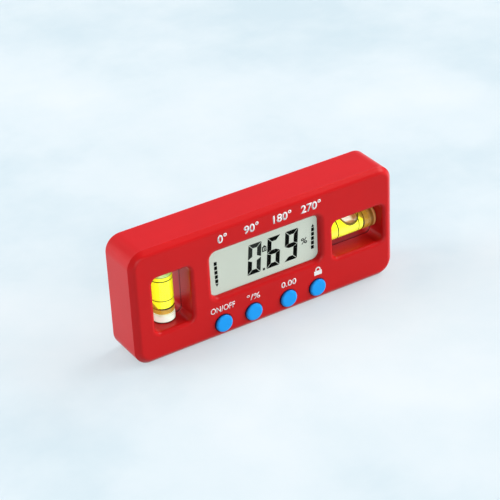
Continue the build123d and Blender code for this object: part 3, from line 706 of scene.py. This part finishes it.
LEVEL_LINES = ((7.45, 0.3, line_faint), (15.75, 0.38, line_dark))
PLUMB_LINES = ((8.52, 0.32, line_faint), (15.77, 0.34, line_dark))
_, level_middle = vial("level", 0, cap_amber, level_liquid, LEVEL_LINES, skin_turn=-0.2)
plumb_place, _ = vial("plumb", 2, cap_milky, plumb_liquid, PLUMB_LINES, skin_turn=-1.2)
level_bubble_piece(level_middle)
plumb_bubble_piece(plumb_place)


# Display lens: a flange behind the front wall and a pane that stands forward

lens_low, lens_high = (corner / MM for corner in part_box("display_window"))
LCD_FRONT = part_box("lcd_panel")[0][1] / MM
PANE_STEP = 0.5
PANE_INSET = 1.7
PANE_CORNER = 2.2
PANE_GAP = 0.005
FLANGE_CORNER = 1.0
FLANGE_GAP = 0.04


def round_outline(low_x, low_z, high_x, high_z, radius, steps=8):
    """A rectangle with rounded corners, anticlockwise in x and z."""
    corners = ((high_x - radius, high_z - radius, 0), (low_x + radius, high_z - radius, 1),
               (low_x + radius, low_z + radius, 2), (high_x - radius, low_z + radius, 3))
    points = []
    for x, z, quarter in corners:
        for k in range(steps + 1):
            turn = math.pi / 2 * (quarter + k / steps)
            points.append((x + radius * math.cos(turn), z + radius * math.sin(turn)))
    return points


def lens_outline(inset, radius):
    """The lens's outline, drawn in by a step."""
    return round_outline(lens_low[0] + inset, lens_low[2] + inset, lens_high[0] - inset, lens_high[2] - inset,
                         radius)


step_y = lens_low[1] + PANE_STEP
flange = slab([lens_outline(0.0, FLANGE_CORNER)], step_y, LCD_FRONT - FLANGE_GAP)
pane = slab([lens_outline(PANE_INSET, PANE_CORNER)], lens_low[1], step_y - PANE_GAP)
lens = piece("display_lens", *joined(flange, pane), "case", "lens_clear", lens_clear)
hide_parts("display_window")


# Display: digits, bars and marks, as thin ink on the panel

DIGIT_WIDE = 5.0
DIGIT_HIGH = 11.2
DIGIT_BASE = 17.81
DIGIT_LEFTS = {"zero": -6.48, "six": 0.87, "nine": 7.72}
SEGMENT = 1.6
SEGMENT_GAP = 0.12
SLANT = 0.0826
BAR_COUNT = 5
BAR_PITCH = 1.656
BAR_WIDE = 1.14
BAR_HIGH = 1.36
POINTER_HALF = 0.6
POINTER_NEAR = 0.92
POINTER_FAR = 2.05
INK_NEAR = LCD_FRONT - 0.016
INK_FAR = LCD_FRONT - 0.002


def segment_shapes():
    """The seven segments of one digit, upright, from its lower left corner."""
    w, h, t, c = DIGIT_WIDE, DIGIT_HIGH, SEGMENT, SEGMENT_GAP
    mid = h / 2
    top = [(c, h), (w - c, h), (w - t - c, h - t), (t + c, h - t)]
    upper_left = [(0, h - c), (t, h - t - c), (t, mid + t / 2 + c), (0, mid + c)]
    upper_right = [(w - x, z) for x, z in upper_left]
    centre = [(c, mid), (t, mid + t / 2), (w - t, mid + t / 2), (w - c, mid), (w - t, mid - t / 2),
              (t, mid - t / 2)]

    def flip(shape):
        return [(x, h - z) for x, z in shape]

    return {"a": top, "b": upper_right, "c": flip(upper_right), "d": flip(top), "e": flip(upper_left),
            "f": upper_left, "g": centre}


def digit(name, lit):
    """Outlines of the lit segments of a digit."""
    shapes = segment_shapes()
    left = DIGIT_LEFTS[name]
    return [[(left + x + z * SLANT, DIGIT_BASE + z) for x, z in shapes[key]] for key in lit]


def box_outline(x, z, wide, high):
    return [(x - wide / 2, z - high / 2), (x + wide / 2, z - high / 2), (x + wide / 2, z + high / 2),
            (x - wide / 2, z + high / 2)]


def bars(x, start, lean, rise):
    """One tilt column of blocks and a pointer; rise is 1 for a column that points up, -1 for down."""
    shapes = []
    for k in range(BAR_COUNT):
        climb = rise * BAR_PITCH * k
        shapes.append(box_outline(x + lean * climb, start + climb, BAR_WIDE, BAR_HIGH))
    tip = x + lean * rise * BAR_PITCH * BAR_COUNT
    last = start + rise * BAR_PITCH * (BAR_COUNT - 1)
    foot = last + rise * POINTER_NEAR
    shapes.append([(tip - POINTER_HALF, foot), (tip + POINTER_HALF, foot), (tip, last + rise * POINTER_FAR)])
    return shapes


def battery_mark(x, z):
    """A small battery: four sides, a bar of charge and a terminal."""
    line, wide, up, out = 0.42, 1.7, 0.75, 0.67
    return [box_outline(x, z - up, wide, line), box_outline(x, z + up, wide, line),
            box_outline(x - out, z, line, 1.05), box_outline(x + out, z, line, 1.05),
            box_outline(x, z, 0.4, 0.9), box_outline(x, z + 1.15, 0.7, 0.36)]


INKED = (
    ("display_zero_dark", digit("zero", "de"), lcd_black),
    ("display_zero_pale", digit("zero", "abcf"), lcd_dark),
    ("display_six", digit("six", "afedcg"), lcd_black),
    ("display_nine", digit("nine", "abcdfg"), lcd_black),
    ("display_point", [box_outline(-0.13, 18.16, 0.85, 0.85)], lcd_black),
    ("display_bars_left", bars(-18.23, 26.76, lean=-0.023, rise=-1), lcd_black),
    ("display_bars_right", bars(18.94, 19.74, lean=0.044, rise=1), lcd_black),
    ("display_battery", battery_mark(0.32, 25.66), lcd_dark),
)
for name, outlines, ink in INKED:
    piece(name, *slab(outlines, INK_NEAR, INK_FAR), "case", "lcd_grey", ink)


# Lettering: the percent mark on the display and the print on the front face

FONT_CAPITAL = 0.729
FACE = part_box("front_housing")[0][1] / MM
PRINT_NEAR = FACE - 0.02
PRINT_FAR = FACE - 0.004


def lettering(name, text, centre_x, base_z, cap, near, far, made, wide, bold):
    """Raised lettering on a face towards -y, cap millimetres high, its width scaled by wide."""
    curve = bpy.data.curves.new(name, "FONT")
    curve.body = text
    curve.offset = bold
    curve.resolution_u = 6
    probe = bpy.data.objects.new(name, curve)
    scene.collection.objects.link(probe)
    bpy.context.view_layer.update()
    flat = bpy.data.meshes.new_from_object(probe.evaluated_get(bpy.context.evaluated_depsgraph_get()))
    bpy.data.objects.remove(probe)
    work = bmesh.new()
    work.from_mesh(flat)
    bmesh.ops.remove_doubles(work, verts=work.verts, dist=1e-6)
    bmesh.ops.dissolve_limit(work, angle_limit=0.01, verts=work.verts, edges=work.edges)
    out = bmesh.ops.extrude_face_region(work, geom=list(work.faces))
    raised = {item for item in out["geom"] if isinstance(item, bmesh.types.BMVert)}
    scale = cap / FONT_CAPITAL
    middle = (min(v.co.x for v in work.verts) + max(v.co.x for v in work.verts)) / 2
    for v in work.verts:
        x = centre_x + (v.co.x - middle) * scale * wide
        z = base_z + v.co.y * scale
        v.co = Vector((x, near if v in raised else far, z)) * MM
    bmesh.ops.recalc_face_normals(work, faces=work.faces)
    work.to_mesh(flat)
    work.free()
    flat.materials.clear()
    flat.materials.append(made)
    obj = bpy.data.objects.new(name, flat)
    scene.collection.objects.link(obj)
    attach(obj, "case")


def face_print(name, text, centre_x, base_z, cap, wide, bold):
    """White lettering on the front face."""
    lettering(name, text, centre_x, base_z, cap, PRINT_NEAR, PRINT_FAR, print_white, wide, bold)


def padlock(x, z):
    """A lock's body and its shackle, from the middle of its foot."""
    body_wide, body_high = 3.0, 1.6
    outer, inner, steps = 1.05, 0.6, 12
    arch, foot = z + 2.0, z + 1.65

    def bow(radius):
        turns = [math.pi * k / steps for k in range(steps + 1)]
        return [(x + radius * math.cos(turn), arch + radius * math.sin(turn)) for turn in turns]

    shackle = [(x + outer, foot), *bow(outer), (x - outer, foot), (x - inner, foot),
               *reversed(bow(inner)), (x + inner, foot)]
    return [box_outline(x, z + body_high / 2, body_wide, body_high), shackle]


lettering("display_percent", "%", 15.77, 22.21, 2.2, INK_NEAR, INK_FAR, lcd_black,
          wide=1.2, bold=0.016)
for turn, centre in ((0, -16.5), (90, -5.6), (180, 6.2), (270, 17.3)):
    face_print(f"print_scale_{turn}", f"{turn}°", centre, base_z=35.4, cap=2.9, wide=1.05, bold=0.025)
KEY_MARKS = (
    ("on_off", "ON/OFF", -17.8, 0.85, 0.012),
    ("degree_percent", "°/%", -6.1, 1.3, 0.008),
    ("zero", "0.00", 7.7, 1.15, 0.012),
)
for name, text, centre, wide, bold in KEY_MARKS:
    face_print("print_" + name, text, centre, base_z=10.0, cap=2.2, wide=wide, bold=bold)
piece("print_padlock", *slab(padlock(19.3, 10.0), PRINT_NEAR, PRINT_FAR), "case", "switch_grey", print_white)


# Materials of the CAD nodes

FINISH = {
    "front_housing": case_red, "rear_cover": cover_red, "battery_door": door_red, "coin_cell": cell_steel,
    "battery_negative_contact": spring_steel, "battery_positive_contact": spring_steel,
    "display_window": lens_clear, "lcd_panel": lcd_grey, "lcd_frame": frame_black,
    "zebra_strip_upper": zebra_rubber, "zebra_strip_lower": zebra_rubber, "main_board": board_green,
    "microcontroller": chip_black, "tilt_sensor": chip_black, "clock_crystal": crystal_steel,
    "board_capacitors": capacitor_tan, "rear_cover_screws": screw_steel, "board_screws": screw_steel,
    "base_magnets": magnet_nickel, "level_vial_end_cap": cap_amber, "plumb_vial_end_cap": cap_milky,
    "level_vial_liquid": level_liquid, "plumb_vial_liquid": plumb_liquid, "level_bubble": level_air,
    "plumb_bubble": plumb_air,
}
for key in ("power", "unit", "zero", "hold"):
    FINISH[key + "_button"] = key_blue
    FINISH[key + "_plunger"] = switch_grey
    FINISH[key + "_switch"] = switch_black
for key in ("level", "plumb"):
    FINISH[key + "_vial_tube"] = vial_acrylic
    FINISH[key + "_vial_stopper"] = vial_stopper
for key, obj in nodes.items():
    obj.material_slots[0].material = FINISH[key]


# Floor: pale to the camera, to mirrors and through clear pieces, darker for the light that it throws back

FLOOR_Z = cad_box[0][2]
FLOOR_HALF = 3.0
FLOOR_LIT = 0.55
BACK_SHARE = 0.5
CARD_PLACE = (-0.051, 0.036, FLOOR_Z)
floor_mesh = bpy.data.meshes.new("floor")
floor_mesh.from_pydata([(-FLOOR_HALF, -FLOOR_HALF, FLOOR_Z), (FLOOR_HALF, -FLOOR_HALF, FLOOR_Z),
                        (FLOOR_HALF, FLOOR_HALF, FLOOR_Z), (-FLOOR_HALF, FLOOR_HALF, FLOOR_Z)], [],
                       [(0, 1, 2, 3)])
floor = bpy.data.objects.new("floor", floor_mesh)
scene.collection.objects.link(floor)
floor_pale, shader = material("floor_pale")
tint(floor_pale, shader, mottle((0.61, 0.70, 0.74), (0.64, 0.72, 0.76)), grain(floor_pale, 30.0))
set_inputs(shader, Roughness=0.9, Specular_IOR_Level=0.0)
bright = add(floor_pale, "ShaderNodeEmission", Strength=1.0)
CLOUDS = [(0.36, (0.60, 0.75, 0.81)), (0.5, (0.80, 0.89, 0.92)), (0.64, (0.92, 0.96, 0.97))]
link(floor_pale, ramp(floor_pale, grain(floor_pale, 8.0, 6.0), CLOUDS), bright.inputs["Color"])
seen = mix(floor_pale, FLOOR_LIT, shader.outputs["BSDF"], bright.outputs["Emission"])

# The light thrown back grows toward the rear and is strongest from a patch behind the standing vial.
deep = add(floor_pale, "ShaderNodeBsdfDiffuse")
around = add(floor_pale, "ShaderNodeTexCoord")
away = add(floor_pale, "ShaderNodeVectorMath")
away.operation = "DISTANCE"
away.inputs[1].default_value = CARD_PLACE
card = add(floor_pale, "ShaderNodeMapRange", From_Min=0.007, From_Max=0.018, To_Min=1.0, To_Max=0.0)
link(floor_pale, around.outputs["Object"], away.inputs[0])
link(floor_pale, away.outputs["Value"], card.inputs["Value"])
back = combine(floor_pale, "MULTIPLY", along(floor_pale, (-0.5, 1.0, 0.0), -0.01, 0.07), BACK_SHARE)
BOUNCES = [(0.0, (0.26, 0.28, 0.29)), (0.5, (0.37, 0.45, 0.55)), (1.0, (0.78, 0.80, 0.82))]
link(floor_pale, ramp(floor_pale, larger(floor_pale, back, card.outputs["Result"]), BOUNCES),
     deep.inputs["Color"])
rays = add(floor_pale, "ShaderNodeLightPath")
clear_or_mirror = larger(floor_pale, rays.outputs["Is Glossy Ray"], rays.outputs["Is Transmission Ray"])
watched = larger(floor_pale, rays.outputs["Is Camera Ray"], clear_or_mirror)
show(floor_pale, mix(floor_pale, watched, deep.outputs["BSDF"], seen))
floor_mesh.materials.append(floor_pale)


# Light and camera

world = bpy.data.worlds.new("world")
scene.world = world
world.use_nodes = True
sky = world.node_tree.nodes["Background"]
SKIES = [(0.0, (0.17, 0.18, 0.21)), (1.0, (0.37, 0.42, 0.51))]
link(world, ramp(world, along(world, (0.45, 0.70, 0.55), 0.0, 1.0, "Generated"), SKIES), sky.inputs["Color"])
sky.inputs["Strength"].default_value = 1.0
AIM = (0.0, 0.0, 0.02)


def softbox(name, place, aim, wide, high, power, mirrored=True):
    """A lamp that faces a point, its sides in metres and its power in watts.

    A lamp that isn't mirrored gives only diffuse light.
    """
    lamp = bpy.data.lights.new(name, "AREA")
    lamp.shape = "RECTANGLE"
    lamp.size = wide
    lamp.size_y = high
    lamp.energy = power
    obj = bpy.data.objects.new(name, lamp)
    obj.location = place
    obj.rotation_euler = (Vector(aim) - Vector(place)).to_track_quat("-Z", "Y").to_euler()
    obj.visible_glossy = mirrored
    scene.collection.objects.link(obj)


softbox("right_light", (1.60, 0.0, 1.32), AIM, wide=1.8, high=1.0, power=36.0)
softbox("right_front_light", (1.64, -1.20, 0.50), AIM, wide=1.2, high=0.9, power=31.0, mirrored=False)
softbox("front_light", (-0.25, -1.0, 0.12), AIM, wide=0.8, high=0.6, power=4.5)
softbox("left_light", (-0.88, 0.42, 0.34), AIM, wide=0.55, high=0.9, power=9.2)
softbox("top_light", (-0.25, 0.30, 0.90), (0.0, 0.0, 0.0), wide=0.8, high=0.8, power=2.4)

camera_data = bpy.data.cameras.new("camera")
camera_data.sensor_width = 36.0
camera_data.lens = 134.215
camera_data.clip_start = 0.01
camera = bpy.data.objects.new("camera", camera_data)
scene.collection.objects.link(camera)
eye = Vector((-0.26848, -0.44656, 0.33801))
forward = Vector((0.4388, 0.7345, -0.5177)).normalized()
up = Vector((0.8437, -0.5350, -0.0439)).cross(forward).normalized()
right = forward.cross(up)
camera.matrix_world = Matrix((
    (right.x, up.x, -forward.x, eye.x),
    (right.y, up.y, -forward.y, eye.y),
    (right.z, up.z, -forward.z, eye.z),
    (0.0, 0.0, 0.0, 1.0),
))
bpy.context.scene.camera = camera
scene.view_settings.view_transform = "Standard"
